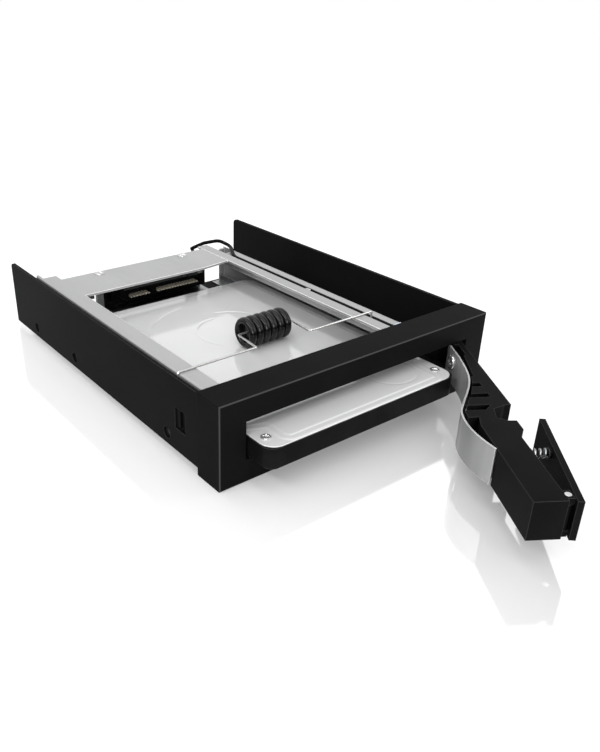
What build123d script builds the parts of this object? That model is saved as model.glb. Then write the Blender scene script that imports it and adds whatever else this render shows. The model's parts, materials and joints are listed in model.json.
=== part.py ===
from build123d import *
import math
import os

os.makedirs("parts", exist_ok=True)

# Hot swap drive caddy: a rack for a 2.5 inch drive that fills a 3.5 inch bay.
# Millimetres. Origin at the middle of the bezel's bottom face, +Y to the rear, +Z up.
# The door is stored as photographed, open; the drive stands part way out.

# Driving sizes
BEZEL_W = 101.6
BEZEL_H = 25.0
BEZEL_D = 10.0
DEPTH = 131.6
WALL = 1.0
SHEET = 0.8
DRIVE_W = BEZEL_W * 11 / 16
DRIVE_L = 100.2
DRIVE_T = 7.0
DOOR_OPEN = 57.6
LATCH_OPEN = 10.5

# Sides, front face and the plane behind the bezel
X0 = -BEZEL_W / 2
XR = BEZEL_W / 2
Y0 = -BEZEL_D / 2
YB = Y0 + BEZEL_D
YE = Y0 + DEPTH

# Slot in the bezel
SLOT_X0 = X0 + 8.3
SLOT_MARGIN = 2.8
SLOT_Z0 = 6.9
SLOT_Z1 = 18.2

# Chassis
SHELL_X0 = X0 + 0.35
SHELL_X1 = XR - 0.35
SHELL_Z0 = 1.4
SHELL_Z1 = BEZEL_H - 0.5
FLOOR_Z = SHELL_Z0 + WALL
FLOOR_Y1 = YE - 8.1
HOLE_1 = 25.6
HOLE_2 = 83.2
HOLE_3 = 113.3
WALL_HOLE_Y = (Y0 + HOLE_1, Y0 + HOLE_2, Y0 + HOLE_3)
WALL_HOLE_Z = 5.3
WALL_HOLE_R = 1.75

# Drive, as photographed
DRIVE_X0 = X0 + 9.0
DRIVE_X1 = DRIVE_X0 + DRIVE_W
DRIVE_Y0 = Y0 - 8.7
DRIVE_Y1 = DRIVE_Y0 + DRIVE_L
DRIVE_Z0 = 7.15
DRIVE_Z1 = DRIVE_Z0 + DRIVE_T
COVER_T = 0.55
COVER_Z0 = DRIVE_Z1 - COVER_T
RIM_Z = DRIVE_Z1 - 0.3
PIVOT_X = DRIVE_X0 + 55.0
PIVOT_Y = DRIVE_Y0 + 12.7
SPINDLE_X = DRIVE_X0 + 34.5
SPINDLE_Y = DRIVE_Y0 + 63.7

# Cage of folded sheet
CAGE_X0 = X0 + 2.1
CAGE_X1 = DRIVE_X1 + 3.35
CAGE_Z1 = BEZEL_H - 0.2
RISER_X = CAGE_X1 - 11.6
LEDGE_Z = CAGE_Z1 - 4.0
CAGE_Y1 = YE - 18.8
BRIDGE_Y0 = YE - 45.6
BRIDGE_Y1 = YE - 27.6
WINDOW_X0 = CAGE_X0 + 5.4
WINDOW_X1 = RISER_X - 5.0
RAIL_T = 0.8
CAGE_SCREW_IN = 4.4
CAGE_SCREW_Y = (Y0 + 32.0, YE - 35.6)
BRIDGE_SCREW_X = (CAGE_X0 + 18.4, CAGE_X0 + 52.6)
BRIDGE_SCREW_Y = BRIDGE_Y1 - 2.4
RAIL_TOP = DRIVE_Z0 - 0.05

# Presser wire and roller
WIRE_R = 0.32
WIRE_Y = Y0 + 21.3
WIRE_Z = CAGE_Z1 + WIRE_R
HOOK_Z_LEFT = CAGE_Z1 - 3.8
HOOK_Z_RIGHT = CAGE_Z1 - 2.5
ROLLER_R = 4.9
ROLLER_L = 15.0
ROLLER_X = X0 + 46.45
ROLLER_Y = Y0 + 41.9
ROLLER_Z = DRIVE_Z1 + ROLLER_R + 0.03
RIDGES = 6

# Connector at the rear
FACE_Y = YE - 15.6
PCB_Y = FACE_Y + 5.4
PCB_T = 1.6
PCB_TOP = CAGE_Z1 - 7.8
CON_W = 45.9
CON_X0 = DRIVE_X1 - 50.35
CON_X1 = CON_X0 + CON_W
TONGUE_Z = DRIVE_Z0 + 1.85

# Door, in its own plane: x along the door from the hinge, y outwards from the hinge axis
HINGE_X = DRIVE_X1 + 11.55
HINGE_Y = Y0 + 1.2
SLOT_X1 = HINGE_X + SLOT_MARGIN
FACE_OUT = 1.2
PIN_R = 0.7
DOOR_Z0 = SLOT_Z0 + 0.5
DOOR_Z1 = SLOT_Z1 - 0.4
DOOR_H = DOOR_Z1 - DOOR_Z0
DOOR_LEN = HINGE_X - SLOT_X0 - 0.9
ARM_DRAWN = 81.2
STRETCH = DOOR_LEN / ARM_DRAWN
BLOCK_X0 = 49.5
LATCH_X = DOOR_LEN - 2.2
LATCH_DEPTH = 3.0
LATCH_L = 35.0
LATCH_T = 1.5
SPRING_X = LATCH_X - 18.7
SPRING_Z = DOOR_Z1 - 1.7
LEAF_SCREW_X = 6.2
LEAF_SCREW_Z = DOOR_Z1 - 4.0

OPEN = math.radians(180 + DOOR_OPEN)
DOOR = Plane(
    origin=(HINGE_X, HINGE_Y, 0),
    x_dir=(math.cos(OPEN), math.sin(OPEN), 0),
    z_dir=(0, 0, 1),
)


def block(x0, x1, y0, y1, z0, z1, mode=Mode.ADD):
    with Locations(((x0 + x1) / 2, (y0 + y1) / 2, (z0 + z1) / 2)):
        Box(x1 - x0, y1 - y0, z1 - z0, mode=mode)


def rod_z(x, y, z0, z1, r, mode=Mode.ADD):
    with Locations((x, y, (z0 + z1) / 2)):
        Cylinder(r, z1 - z0, mode=mode)


def rod_x(x0, x1, y, z, r, mode=Mode.ADD):
    with Locations(((x0 + x1) / 2, y, z)):
        Cylinder(r, x1 - x0, rotation=(0, 90, 0), mode=mode)


def rod_y(x, y0, y1, z, r, mode=Mode.ADD):
    with Locations((x, (y0 + y1) / 2, z)):
        Cylinder(r, y1 - y0, rotation=(90, 0, 0), mode=mode)


def along_y(part, x, z):
    found = part.edges().filter_by(Axis.Y)
    return [e for e in found if abs(e.center().X - x) < 0.02 and abs(e.center().Z - z) < 0.02]


def along_x(part, y, z):
    found = part.edges().filter_by(Axis.X)
    return [e for e in found if abs(e.center().Y - y) < 0.02 and abs(e.center().Z - z) < 0.02]


def along_z(part, x, y):
    found = part.edges().filter_by(Axis.Z)
    return [e for e in found if abs(e.center().X - x) < 0.02 and abs(e.center().Y - y) < 0.02]


def tube(points, radii, r, sides=10):
    with BuildLine() as route:
        FilletPolyline(*points, radius=radii)
    with BuildSketch(Plane(origin=route.line @ 0, z_dir=route.line % 0)) as ring:
        RegularPolygon(r, sides)
    sweep(sections=ring.sketch, path=route.line)


# Bezel: moulded front frame, hollow behind, with a snap tongue at each side
with BuildPart() as bezel:
    block(X0, XR, Y0, YB, 0, BEZEL_H)
    fillet(bezel.faces().sort_by(Axis.Y)[0].edges(), radius=0.45)
    block(SLOT_X0, SLOT_X1, Y0 - 1, YB + 1, SLOT_Z0, SLOT_Z1, mode=Mode.SUBTRACT)
    for x0, x1 in ((X0 + 3.0, -0.8), (0.8, SLOT_X1 - 4.0)):
        block(x0, x1, Y0 + 2.2, YB + 1, SLOT_Z1 + 1.7, BEZEL_H - 1.8, mode=Mode.SUBTRACT)
        block(x0, x1, Y0 + 2.2, YB + 1, 2.6, SLOT_Z0 - 1.7, mode=Mode.SUBTRACT)
    for side in (-1, 1):
        inner = side * (XR - 0.35 - WALL)
        tongue_in = inner - side * 0.6
        hook_out = inner + side * 0.6
        block(min(inner, tongue_in), max(inner, tongue_in), YB - 0.5, Y0 + 20.6, 9.4, 15.2)
        block(min(inner, hook_out), max(inner, hook_out), Y0 + 18.9, Y0 + 20.6, 9.6, 15.0)
    rod_z(HINGE_X, HINGE_Y, 3.5, SLOT_Z1 + 3.3, PIN_R, mode=Mode.SUBTRACT)
bezel.part.label = "bezel"
export_step(bezel.part, "parts/bezel.step")

# Chassis: one folded steel sheet, a floor and two side walls
with BuildPart() as chassis_shell:
    block(SHELL_X0, SHELL_X1, YB, FLOOR_Y1, SHELL_Z0, FLOOR_Z)
    block(SHELL_X0, SHELL_X0 + WALL, YB, YE, SHELL_Z0, SHELL_Z1)
    block(SHELL_X1 - WALL, SHELL_X1, YB, YE, SHELL_Z0, SHELL_Z1)
    for x in (SHELL_X0, SHELL_X1):
        fillet(along_y(chassis_shell, x, SHELL_Z0), radius=0.8)
    fillet(along_x(chassis_shell, YE, SHELL_Z1), radius=1.8)
    for x0, x1 in ((SHELL_X0 - 1, SHELL_X0 + WALL + 0.5), (SHELL_X1 - WALL - 0.5, SHELL_X1 + 1)):
        block(x0, x1, Y0 + 16.0, Y0 + 21.0, 9.0, 15.5, mode=Mode.SUBTRACT)
        for y in WALL_HOLE_Y:
            rod_x(x0, x1, y, WALL_HOLE_Z, WALL_HOLE_R, mode=Mode.SUBTRACT)
    for x in (CAGE_X0 + CAGE_SCREW_IN, CAGE_X1 - CAGE_SCREW_IN):
        for y in CAGE_SCREW_Y:
            rod_z(x, y, SHELL_Z0 - 1, FLOOR_Z + 1, 1.5, mode=Mode.SUBTRACT)
chassis_shell.part.label = "chassis_shell"
export_step(chassis_shell.part, "parts/chassis_shell.step")

# Cage: folded sheet that holds the drive, with a window and a bridge on top
with BuildPart() as drive_cage:
    t = SHEET
    top = CAGE_Z1 - t
    block(CAGE_X0, CAGE_X0 + t, YB, CAGE_Y1, FLOOR_Z, CAGE_Z1)
    block(CAGE_X0, CAGE_X0 + 9.0, YB, CAGE_Y1, FLOOR_Z, FLOOR_Z + t)
    block(CAGE_X0, WINDOW_X0, YB, BRIDGE_Y1 + 4.5, top, CAGE_Z1)
    block(CAGE_X0, RISER_X, BRIDGE_Y0, BRIDGE_Y1, top, CAGE_Z1)
    block(WINDOW_X1, RISER_X, YB, BRIDGE_Y1 + 3.2, top, CAGE_Z1)
    block(RISER_X - t, RISER_X, YB, BRIDGE_Y1 + 3.2, LEDGE_Z - t, CAGE_Z1)
    block(RISER_X - t, CAGE_X1, YB, BRIDGE_Y1 + 0.6, LEDGE_Z - t, LEDGE_Z)
    block(CAGE_X1 - t, CAGE_X1, YB, CAGE_Y1, FLOOR_Z, LEDGE_Z)
    block(CAGE_X1 - 9.0, CAGE_X1, YB, CAGE_Y1, FLOOR_Z, FLOOR_Z + t)
    block(CAGE_X1 - 3.0, CAGE_X1, CAGE_Y1 - t, CAGE_Y1, FLOOR_Z, LEDGE_Z - 0.8)
    block(CAGE_X0, CAGE_X0 + 3.4, CAGE_Y1 - t, CAGE_Y1, FLOOR_Z, CAGE_Z1 - 2.0)
    fillet(along_y(drive_cage, CAGE_X0, CAGE_Z1), radius=0.6)
    fillet(along_y(drive_cage, RISER_X, CAGE_Z1), radius=1.4)
    fillet(along_y(drive_cage, RISER_X - t, top), radius=0.6)
    fillet(along_y(drive_cage, CAGE_X1, LEDGE_Z), radius=1.2)
    block(RISER_X - 0.2, RISER_X + 1.4, Y0 + 48.8, Y0 + 50.6, LEDGE_Z + 2.6, LEDGE_Z + 3.2)
    block(WINDOW_X1 - 0.3, WINDOW_X1, BRIDGE_Y0, BRIDGE_Y1, CAGE_Z1 - 0.35, CAGE_Z1 + 1, mode=Mode.SUBTRACT)
    with BuildSketch(Plane.XY.offset(top - 1)):
        with BuildLine():
            Polyline(
                (WINDOW_X1 - 10.5, BRIDGE_Y0 - 1), (WINDOW_X1, BRIDGE_Y0 - 1), (WINDOW_X1, BRIDGE_Y0 + 1.6),
                (WINDOW_X1 - 10.5, BRIDGE_Y0), close=True,
            )
        make_face()
    extrude(amount=SHEET + 2, mode=Mode.SUBTRACT)
    for x in BRIDGE_SCREW_X:
        rod_z(x, BRIDGE_SCREW_Y, top - 1, CAGE_Z1 + 1, 1.3, mode=Mode.SUBTRACT)
    rod_x(CAGE_X0 - 1, CAGE_X0 + t + 1, WIRE_Y, HOOK_Z_LEFT, 0.42, mode=Mode.SUBTRACT)
    rod_x(RISER_X - t - 1, RISER_X + 1, WIRE_Y, HOOK_Z_RIGHT, 0.42, mode=Mode.SUBTRACT)
    for x in (CAGE_X0 + CAGE_SCREW_IN, CAGE_X1 - CAGE_SCREW_IN):
        for y in CAGE_SCREW_Y:
            rod_z(x, y, FLOOR_Z - 1, FLOOR_Z + t + 1, 1.25, mode=Mode.SUBTRACT)
drive_cage.part.label = "drive_cage"
export_step(drive_cage.part, "parts/drive_cage.step")

# Guide rails welded to the cage's side walls, with a lip beside the drive
with BuildPart() as guide_rail_left:
    x = CAGE_X0 + SHEET
    y0 = YB + 0.8
    y1 = CAGE_Y1 - 1.6
    block(x, x + RAIL_T, y0, y1, FLOOR_Z + SHEET, RAIL_TOP)
    block(x, DRIVE_X0 + 3.6, y0, y1, RAIL_TOP - RAIL_T, RAIL_TOP)
    block(DRIVE_X0 - 0.3 - RAIL_T, DRIVE_X0 - 0.3, y0, y1, RAIL_TOP - RAIL_T, DRIVE_Z0 + 2.35)
guide_rail_left.part.label = "guide_rail_left"
export_step(guide_rail_left.part, "parts/guide_rail_left.step")

with BuildPart() as guide_rail_right:
    x = CAGE_X1 - SHEET
    y0 = YB + 0.8
    y1 = CAGE_Y1 - 0.8
    block(x - RAIL_T, x, y0, y1, FLOOR_Z + SHEET, RAIL_TOP)
    block(DRIVE_X1 - 3.6, x, y0, y1, RAIL_TOP - RAIL_T, RAIL_TOP)
    block(DRIVE_X1 + 0.3, DRIVE_X1 + 0.3 + RAIL_T, y0, y1, RAIL_TOP - RAIL_T, DRIVE_Z0 + 2.35)
guide_rail_right.part.label = "guide_rail_right"
export_step(guide_rail_right.part, "parts/guide_rail_right.step")

# Four screws hold the cage to the floor from below
for name, x, y in (
    ("cage_screw_front_left", CAGE_X0 + CAGE_SCREW_IN, CAGE_SCREW_Y[0]),
    ("cage_screw_rear_left", CAGE_X0 + CAGE_SCREW_IN, CAGE_SCREW_Y[1]),
    ("cage_screw_front_right", CAGE_X1 - CAGE_SCREW_IN, CAGE_SCREW_Y[0]),
    ("cage_screw_rear_right", CAGE_X1 - CAGE_SCREW_IN, CAGE_SCREW_Y[1]),
):
    with BuildPart() as cage_screw:
        rod_z(x, y, SHELL_Z0 - 0.9, SHELL_Z0, 2.4)
        rod_z(x, y, SHELL_Z0 - 0.1, FLOOR_Z + SHEET + 0.6, 1.25)
        block(x - 1.4, x + 1.4, y - 0.25, y + 0.25, SHELL_Z0 - 1.2, SHELL_Z0 - 0.5, mode=Mode.SUBTRACT)
        block(x - 0.25, x + 0.25, y - 1.4, y + 1.4, SHELL_Z0 - 1.2, SHELL_Z0 - 0.5, mode=Mode.SUBTRACT)
    cage_screw.part.label = name
    export_step(cage_screw.part, "parts/" + name + ".step")

# Bracket under the bridge, with an ear at each end, and its two screws
with BuildPart() as bridge_bracket:
    top = CAGE_Z1 - SHEET
    x0 = BRIDGE_SCREW_X[0] - 7.5
    x1 = BRIDGE_SCREW_X[1] + 7.5
    block(x0, x1, BRIDGE_Y1 - 6.0, BRIDGE_Y1, top - 1.0, top)
    block(x0, x0 + 5.6, BRIDGE_Y1 - 1.0, BRIDGE_Y1, DRIVE_Z1 + 1.4, top)
    block(x1 - 5.6, x1, BRIDGE_Y1 - 1.0, BRIDGE_Y1, DRIVE_Z1 + 1.4, top)
    for x in BRIDGE_SCREW_X:
        rod_z(x, BRIDGE_SCREW_Y, top - 2, top + 1, 1.15, mode=Mode.SUBTRACT)
bridge_bracket.part.label = "bridge_bracket"
export_step(bridge_bracket.part, "parts/bridge_bracket.step")

for name, x in zip(("bridge_screw_left", "bridge_screw_right"), BRIDGE_SCREW_X):
    with BuildPart() as bridge_screw:
        rod_z(x, BRIDGE_SCREW_Y, CAGE_Z1, CAGE_Z1 + 0.6, 1.9)
        chamfer(bridge_screw.edges().sort_by(Axis.Z)[-1], length=0.3)
        rod_z(x, BRIDGE_SCREW_Y, CAGE_Z1 - 2.6, CAGE_Z1 + 0.1, 1.15)
    bridge_screw.part.label = name
    export_step(bridge_screw.part, "parts/" + name + ".step")

# Backplane: a foot on the floor carries the board, its socket faces the drive
with BuildPart() as backplane_bracket:
    block(CON_X0 + 0.5, CON_X1 + 0.6, FACE_Y - 2.9, PCB_Y, FLOOR_Z, FLOOR_Z + 1.0)
    block(CON_X0 + 0.5, CON_X1 + 0.6, PCB_Y - 1.0, PCB_Y, FLOOR_Z, FLOOR_Z + 2.7)
    for x in (CON_X0 + 4.5, CON_X1 - 4.4):
        rod_y(x, PCB_Y - 2, PCB_Y + 1, FLOOR_Z + 1.8, 0.85, mode=Mode.SUBTRACT)
backplane_bracket.part.label = "backplane_bracket"
export_step(backplane_bracket.part, "parts/backplane_bracket.step")

with BuildPart() as backplane_pcb:
    block(CON_X0, CON_X1, PCB_Y, PCB_Y + PCB_T, FLOOR_Z + 0.2, PCB_TOP)
    for x in (CON_X0 + 4.5, CON_X1 - 4.4):
        rod_y(x, PCB_Y - 1, PCB_Y + PCB_T + 1, FLOOR_Z + 1.8, 1.0, mode=Mode.SUBTRACT)
backplane_pcb.part.label = "backplane_pcb"
export_step(backplane_pcb.part, "parts/backplane_pcb.step")

for name, x in (("pcb_screw_left", CON_X0 + 4.5), ("pcb_screw_right", CON_X1 - 4.4)):
    with BuildPart() as pcb_screw:
        rod_y(x, PCB_Y + PCB_T, PCB_Y + PCB_T + 1.0, FLOOR_Z + 1.8, 1.6)
        rod_y(x, PCB_Y - 1.2, PCB_Y + PCB_T + 0.1, FLOOR_Z + 1.8, 0.85)
    pcb_screw.part.label = name
    export_step(pcb_screw.part, "parts/" + name + ".step")

SIGNAL_X0 = CON_X0 + 8.5
SIGNAL_X1 = SIGNAL_X0 + 10.2
POWER_X0 = SIGNAL_X1 + 1.8
POWER_X1 = POWER_X0 + 20.6
with BuildPart() as sata_receptacle:
    block(CON_X0, CON_X1, FACE_Y, PCB_Y, TONGUE_Z - 3.8, TONGUE_Z + 4.4)
    block(SIGNAL_X0 - 1.5, POWER_X1 + 1.5, FACE_Y - 4.0, FACE_Y + 1, TONGUE_Z - 1.4, TONGUE_Z + 3.0)
    for x0, x1 in ((SIGNAL_X0, SIGNAL_X1), (POWER_X0, POWER_X1)):
        block(x0, x1, FACE_Y - 5, FACE_Y - 0.4, TONGUE_Z - 0.5, TONGUE_Z + 1.7, mode=Mode.SUBTRACT)
    for x in (CON_X0 + 2.4, CON_X1 - 2.4):
        block(x - 1.0, x + 1.0, FACE_Y - 1, FACE_Y + 2.6, TONGUE_Z - 2.4, TONGUE_Z + 5, mode=Mode.SUBTRACT)
sata_receptacle.part.label = "sata_receptacle"
export_step(sata_receptacle.part, "parts/sata_receptacle.step")

with BuildPart() as receptacle_contacts:
    for x0, count in ((SIGNAL_X0, 7), (POWER_X0, 15)):
        for i in range(count):
            x = x0 + 1.3 + 1.27 * i
            block(x - 0.4, x + 0.4, FACE_Y - 3.8, FACE_Y - 0.4, TONGUE_Z - 0.5, TONGUE_Z - 0.2)
receptacle_contacts.part.label = "receptacle_contacts"
export_step(receptacle_contacts.part, "parts/receptacle_contacts.step")

for name, x0, x1 in (("data_socket", CON_X0 + 5.5, CON_X0 + 19.5), ("power_socket", CON_X0 + 21.5, CON_X0 + 44.3)):
    with BuildPart() as socket:
        y0 = PCB_Y + PCB_T
        block(x0, x1, y0, y0 + 5.5, 6.6, 12.6)
        block(x0 + 1.2, x1 - 1.2, y0 + 1.0, y0 + 6, 7.8, 11.4, mode=Mode.SUBTRACT)
        block(x0 + 2.2, x1 - 2.2, y0 + 0.5, y0 + 5.0, 9.0, 10.1)
    socket.part.label = name
    export_step(socket.part, "parts/" + name + ".step")

# Status lamp behind the bezel and its lead, clipped along the cage's ledge
LEAD_R = 0.7
LEAD_X = RISER_X + 5.0
LEAD_Z = LEDGE_Z + LEAD_R
with BuildPart() as status_lamp:
    block(LEAD_X - 1.3, LEAD_X + 1.3, YB, YB + 3.0, LEDGE_Z, LEDGE_Z + 2.6)
status_lamp.part.label = "status_lamp"
export_step(status_lamp.part, "parts/status_lamp.step")

with BuildPart() as status_lead:
    tube(
        [
            (CAGE_X1 - 9.4, PCB_Y + 0.8, PCB_TOP),
            (CAGE_X1 - 9.4, PCB_Y + 0.8, PCB_TOP + 1.6),
            (CAGE_X1 - 14.4, YE - 16.2, LEAD_Z),
            (CAGE_X1 - 8.1, YE - 15.8, LEAD_Z + 1.0),
            (CAGE_X1 - 1.6, YE - 17.0, LEAD_Z + 1.2),
            (CAGE_X1 - 0.6, YE - 23.6, LEAD_Z + 0.4),
            (LEAD_X, YE - 34.1, LEAD_Z),
            (LEAD_X, YB + 3.0, LEAD_Z),
        ],
        [0.9, 1.4, 5.0, 2.6, 8.0, 11.0],
        LEAD_R,
    )
status_lead.part.label = "status_lead"
export_step(status_lead.part, "parts/status_lead.step")

# Presser wire: hooked in the cage's sides, its loop carries the roller on the drive
with BuildPart() as presser_wire:
    hook_l = CAGE_X0 - WIRE_R - 0.01
    hook_r = RISER_X + 2.2
    tube(
        [
            (CAGE_X0 + 2.1, WIRE_Y, HOOK_Z_LEFT),
            (hook_l, WIRE_Y, HOOK_Z_LEFT),
            (hook_l, WIRE_Y, WIRE_Z),
            (X0 + 27.8, WIRE_Y, WIRE_Z),
            (ROLLER_X - ROLLER_L / 2 - 2.2, ROLLER_Y, ROLLER_Z),
            (ROLLER_X + ROLLER_L / 2 + 3.1, ROLLER_Y, ROLLER_Z),
            (X0 + 47.3, WIRE_Y, WIRE_Z),
            (hook_r, WIRE_Y, WIRE_Z),
            (hook_r, WIRE_Y, HOOK_Z_RIGHT),
            (RISER_X - 1.9, WIRE_Y, HOOK_Z_RIGHT),
        ],
        [0.6, 0.6, 0.8, 0.8, 0.8, 0.8, 0.6, 0.6],
        WIRE_R,
    )
presser_wire.part.label = "presser_wire"
export_step(presser_wire.part, "parts/presser_wire.step")

with BuildPart() as presser_roller:
    pitch = ROLLER_L / RIDGES
    with BuildSketch(Plane.XZ.offset(-ROLLER_Y)):
        with BuildLine():
            edge = [(ROLLER_X - ROLLER_L / 2, ROLLER_Z)]
            for i in range(RIDGES):
                mid = ROLLER_X + (i - (RIDGES - 1) / 2) * pitch
                for along, drop in ((-0.5, 1.0), (-0.36, 0.3), (-0.14, 0), (0.14, 0), (0.36, 0.3)):
                    edge.append((mid + along * pitch, ROLLER_Z + ROLLER_R - drop))
            edge.append((ROLLER_X + ROLLER_L / 2, ROLLER_Z + ROLLER_R - 1.0))
            edge.append((ROLLER_X + ROLLER_L / 2, ROLLER_Z))
            Polyline(*edge, close=True)
        make_face()
    revolve(axis=Axis((ROLLER_X, ROLLER_Y, ROLLER_Z), (1, 0, 0)))
    x0 = ROLLER_X - ROLLER_L / 2
    x1 = ROLLER_X + ROLLER_L / 2
    rod_x(x0 - 1, x1 + 1, ROLLER_Y, ROLLER_Z, WIRE_R + 0.06, mode=Mode.SUBTRACT)
    rod_x(x0 - 1, x0 + 1.4, ROLLER_Y, ROLLER_Z, 2.0, mode=Mode.SUBTRACT)
    rod_x(x1 - 1.4, x1 + 1, ROLLER_Y, ROLLER_Z, 2.0, mode=Mode.SUBTRACT)
presser_roller.part.label = "presser_roller"
export_step(presser_roller.part, "parts/presser_roller.step")

# Hinge pin, pressed into the bezel above and below the slot
with BuildPart() as hinge_pin:
    rod_z(HINGE_X, HINGE_Y, 3.5, SLOT_Z1 + 3.3, PIN_R)
hinge_pin.part.label = "hinge_pin"
export_step(hinge_pin.part, "parts/hinge_pin.step")


def depth(d):
    return FACE_OUT - d


def outline(points, z0, z1, mode=Mode.ADD):
    with BuildSketch(DOOR.offset(z0)) as shape:
        with BuildLine():
            Polyline(*[(s, depth(d)) for s, d in points], close=True)
        make_face()
    extrude(to_extrude=shape.sketch, amount=z1 - z0, mode=mode)


def arm(points, z0, z1, mode=Mode.ADD):
    """An outline drawn for the real arm's length, stretched with the door."""
    outline([(s * STRETCH, d) for s, d in points], z0, z1, mode)


def toward_arm(d):
    """Plane across the leaf screw at a depth behind the door's outer face, facing outwards."""
    origin = DOOR.from_local_coords(Vector(LEAF_SCREW_X, depth(d), LEAF_SCREW_Z))
    return Plane(origin=origin, z_dir=DOOR.y_dir)


# Door arm: thin outer plate, a web that thickens, ribs behind the spring and a solid grip
RIB_EDGES = ((23.3, 27.3, 4.9, 6.0), (29.3, 33.2, 6.7, 8.4), (35.3, 39.4, 9.6, 11.6), (42.0, 45.5, 13.2, 13.4))
with BuildPart() as door_arm:
    with BuildSketch(DOOR.offset(DOOR_Z0)):
        Circle(2.6)
        with Locations((0, FACE_OUT + 2)):
            Rectangle(8, 4, mode=Mode.SUBTRACT)
    extrude(amount=DOOR_H)
    arm([(0, 0), (39.8, 0), (39.8, 1.7), (0, 1.7)], DOOR_Z0, DOOR_Z1)
    arm([(9.8, 1.0), (42.0, 1.0), (42.0, 7.0), (36.6, 3.8), (29.3, 3.8), (23.3, 4.3), (9.8, 2.4)], DOOR_Z0, DOOR_Z1)
    for s0, s1, d0, d1 in RIB_EDGES:
        arm([(s0, 1.5), (s1, 1.5), (s1, d1), (s0, d0)], DOOR_Z0, DOOR_Z1)
    arm(
        [
            (36.6, 2.9), (40.6, 2.9), (41.6, 5.4), (46.0, 6.3), (47.6, 4.0), (47.8, 1.7), (52.1, 1.7), (55.6, 3.6),
            (ARM_DRAWN, 3.6), (ARM_DRAWN, 11.6), (BLOCK_X0, 11.6), (45.5, 10.6),
        ],
        DOOR_Z0,
        DOOR_Z1,
    )
    arm([(39.8, -1), (47.6, -1), (47.6, 3.6), (46.0, 6.2), (41.6, 5.3), (40.4, 2.6), (39.8, 1.7)],
        DOOR_Z0 - 1, DOOR_Z1 + 1, mode=Mode.SUBTRACT)
    arm([(1.8, 1.0), (11.0, 1.0), (11.0, 4.0), (1.8, 4.0)], DOOR_Z0 + 1.2, DOOR_Z1 - 2.2)
    arm([(BLOCK_X0 + 8.0, 9.8), (BLOCK_X0 + 10.9, 9.8), (BLOCK_X0 + 10.9, 12), (BLOCK_X0 + 8.0, 12)],
        DOOR_Z0 - 1, DOOR_Z1 - 1.4, mode=Mode.SUBTRACT)
    for z0, z1 in ((DOOR_Z0, DOOR_Z0 + 1.6), (DOOR_Z1 - 1.6, DOOR_Z1)):
        outline([(LATCH_X - 1.6, 1.95), (LATCH_X + 1.4, 1.95), (LATCH_X + 1.4, 4), (LATCH_X - 1.6, 4)], z0, z1)
    with BuildSketch(DOOR.offset(DOOR_Z0 + 1.6)):
        with Locations((LATCH_X, depth(LATCH_DEPTH))):
            Circle(1.8)
    extrude(amount=DOOR_H - 3.2, mode=Mode.SUBTRACT)
    with BuildSketch(DOOR.offset(DOOR_Z0 - 1)):
        with Locations((LATCH_X, depth(LATCH_DEPTH))):
            Circle(0.8)
        Circle(PIN_R + 0.05)
    extrude(amount=DOOR_H + 2, mode=Mode.SUBTRACT)
    with BuildSketch(toward_arm(5.0)):
        Circle(0.9)
    extrude(amount=3.8, mode=Mode.SUBTRACT)
door_arm.part.label = "door_arm"
export_step(door_arm.part, "parts/door_arm.step")

# Leaf spring behind the arm: it bows inwards and presses on the drive's front
LEAF_T = 0.4
LEAF = [
    (1.6, 4.2), (11.0, 4.2), (18.4, 4.8), (23.9, 5.77), (28.0, 7.15), (32.6, 9.3), (36.0, 11.1), (39.4, 12.8),
    (42.0, 14.0), (45.1, 14.65), (49.0, 14.75), (53.1, 14.2), (56.7, 13.15), (60.2, 11.8),
]
with BuildPart() as leaf_spring:
    with BuildSketch(DOOR.offset(DOOR_Z0)):
        with BuildLine():
            route = [(s * STRETCH, depth(d)) for s, d in LEAF]
            Line(route[0], route[1])
            Spline(*route[1:])
        trace(line_width=LEAF_T)
    extrude(amount=DOOR_H)
    with BuildSketch(toward_arm(5.0)):
        Circle(1.1)
    extrude(amount=1.5, mode=Mode.SUBTRACT)
leaf_spring.part.label = "leaf_spring"
export_step(leaf_spring.part, "parts/leaf_spring.step")

with BuildPart() as leaf_screw:
    with BuildSketch(toward_arm(5.1)):
        Circle(2.3)
    extrude(amount=0.7)
    chamfer(leaf_screw.faces().sort_by(Axis(DOOR.origin, DOOR.y_dir))[0].edges(), length=0.3)
    with BuildSketch(toward_arm(4.5)):
        Circle(0.9)
    extrude(amount=3.1)
    with BuildSketch(toward_arm(5.2)):
        Rectangle(2.6, 0.5)
        Rectangle(0.5, 2.6)
    extrude(amount=0.5, mode=Mode.SUBTRACT)
leaf_screw.part.label = "leaf_screw"
export_step(leaf_screw.part, "parts/leaf_screw.step")

# Latch lever: a plate on an upright pin near the door's free end, sprung open
TILT = math.radians(LATCH_OPEN)
FAR = (LATCH_X + 2.9, LATCH_DEPTH - 2.5)
WAY = (math.cos(TILT), math.sin(TILT))
SIDE = (-math.sin(TILT), math.cos(TILT))


def on_plate(back, inward):
    return (
        FAR[0] - back * WAY[0] + inward * SIDE[0],
        FAR[1] - back * WAY[1] + inward * SIDE[1],
    )


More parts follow.
